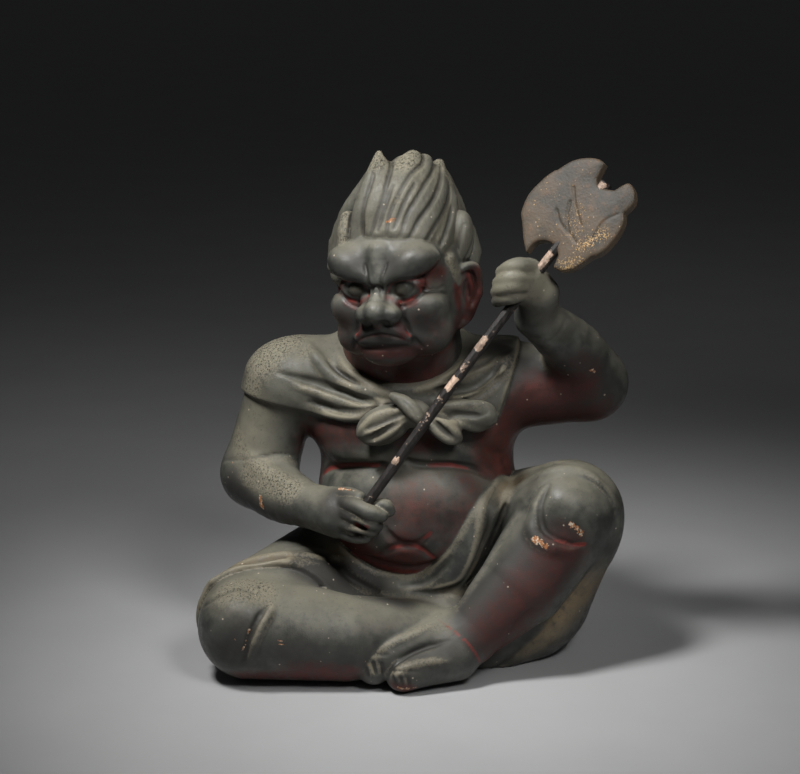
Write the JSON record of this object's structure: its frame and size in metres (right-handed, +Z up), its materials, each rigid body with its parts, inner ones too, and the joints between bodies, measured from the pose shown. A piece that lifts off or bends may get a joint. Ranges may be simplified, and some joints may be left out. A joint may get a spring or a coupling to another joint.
{
  "type": "seated demon figure",
  "caption": "Carved and lacquered wooden figure of a seated demon attendant with flame-like hair, one knee raised, gripping a long-handled axe across its body.",
  "frame": {"origin": "middle of the footprint's bounding box, on the ground plane under the figure", "axes": "+Z up, -Y towards the front of the figure, +X towards the raised knee and the axe head"},
  "size_m": [0.2736, 0.1886, 0.3246],
  "materials": {
    "lacquered_wood": "worn grey-green lacquer over joined wood, with red pigment in the recesses",
    "haft_wood": "dark lacquer, rubbed through to pale wood on the edges",
    "blade": "brown-grey lacquer with traces of gilding, carved wood"
  },
  "bodies": {
    "root": {"demon_figure": "lacquered_wood", "axe_haft": "haft_wood", "axe_head": "blade"}
  },
  "joints": []
}
